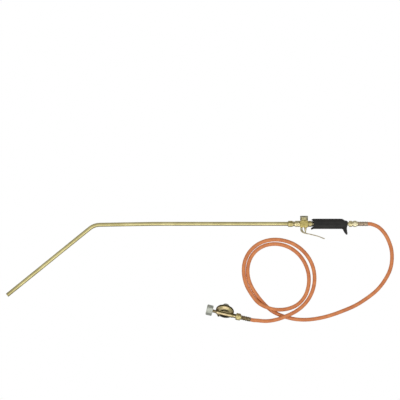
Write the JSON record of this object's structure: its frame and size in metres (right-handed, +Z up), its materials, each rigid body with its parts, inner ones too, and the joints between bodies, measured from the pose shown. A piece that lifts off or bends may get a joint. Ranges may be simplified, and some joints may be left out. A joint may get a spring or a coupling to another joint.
{
  "type": "propane torch",
  "caption": "Roofing torch laid flat: long bent brass tube, squeeze-lever valve in a black moulded handle, orange gas hose and a cylinder regulator at its far end.",
  "frame": {"origin": "under the middle of the torch without its hose and regulator, on the surface it lies on", "axes": "+X along the tube from its mouth towards the handle, +Y the side of the pilot knob, away from the lever, +Z up from the surface"},
  "size_m": [1.3576, 0.3741, 0.054],
  "materials": {
    "lance_brass": "drawn, slightly dulled and heat-tinted at the mouth",
    "brass": "machined, satin",
    "pale_brass": "machined, bright",
    "dark_brass": "crimped, dulled",
    "cast_brass": "die cast, matt with tarnish",
    "cast_zinc": "zinc casting with a yellow passivation",
    "zinc": "zinc plated steel",
    "dark_zinc": "blackened, knurled",
    "spring_steel": "drawn wire",
    "black_plastic": "moulded, satin",
    "grey_plastic": "moulded, satin",
    "hose_rubber": "orange gas hose, satin",
    "black_rubber": "moulded, matt"
  },
  "bodies": {
    "frame": {"lance_tube": "lance_brass", "gas_jet": "pale_brass", "lance_nut": "brass", "lance_seal": "black_rubber", "outlet_union": "pale_brass", "valve_body": "brass", "pilot_bonnet": "brass", "bonnet_o_ring": "black_rubber", "lever_pin": "zinc", "plunger_gland": "pale_brass", "valve_spring": "spring_steel", "handle_shell_upper": "black_plastic", "handle_shell_lower": "black_plastic", "handle_screw_front": "zinc", "handle_screw_middle": "zinc", "handle_screw_rear": "zinc", "gas_tube": "pale_brass", "inlet_collar": "brass", "collar_ring": "pale_brass", "rear_nut": "brass", "hose_union_nut": "pale_brass", "hose_ferrule_torch": "dark_brass", "hose_nipple_torch": "brass", "hose_ferrule_regulator": "dark_brass", "hose_nipple_regulator": "brass", "regulator_body": "cast_brass", "regulator_bonnet": "cast_zinc", "bonnet_screw_1": "zinc", "bonnet_screw_2": "zinc", "bonnet_screw_3": "zinc", "bonnet_screw_4": "zinc", "diaphragm": "black_rubber", "diaphragm_plate": "zinc", "regulator_poppet": "brass", "regulator_spring": "spring_steel", "spring_seat": "zinc", "inlet_nipple": "dark_brass", "inlet_seal": "black_rubber", "outlet_nut": "brass", "test_plug": "zinc", "gas_hose": "hose_rubber"},
    "lever": {"lever": "zinc"},
    "plunger": {"valve_plunger": "brass", "valve_disc": "black_rubber"},
    "pilot_knob": {"pilot_knob": "dark_zinc", "pilot_needle": "zinc"},
    "regulator_knob": {"regulator_knob": "grey_plastic"},
    "cylinder_nut": {"cylinder_nut": "zinc"}
  },
  "joints": [
    {"name": "lever_squeeze", "type": "hinge", "parent": "frame", "child": "lever", "pos_m": [0.41805, 0.09645, 0.01424], "axis": [-0.0069, 0, 1], "range_deg": [0, 10], "stiffness_Nm_per_rad": 2, "springref_deg": -11.46},
    {"name": "plunger_slide", "type": "slide", "parent": "frame", "child": "plunger", "axis": [0, 1, 0], "range_m": [0, 0.0029], "deforming": ["valve_spring"]},
    {"name": "pilot_knob_turn", "type": "hinge", "parent": "frame", "child": "pilot_knob", "pos_m": [0.42725, 0.1392, 0.0143], "axis": [0, 1, 0], "range_deg": [0, 540]},
    {"name": "regulator_knob_turn", "type": "hinge", "parent": "frame", "child": "regulator_knob", "pos_m": [0.1502, -0.1918, 0.02695], "axis": [0.1723, 0.7464, -0.6428], "range_deg": [-720, 0]},
    {"name": "cylinder_nut_spin", "type": "hinge", "parent": "frame", "child": "cylinder_nut", "pos_m": [0.1483, -0.20001, 0.03402], "axis": [0.9744, -0.225, 0], "continuous": true}
  ],
  "couplings": [
    {"joint": "plunger_slide", "follows": "lever_squeeze", "m_per_rad": 0.0162}
  ]
}
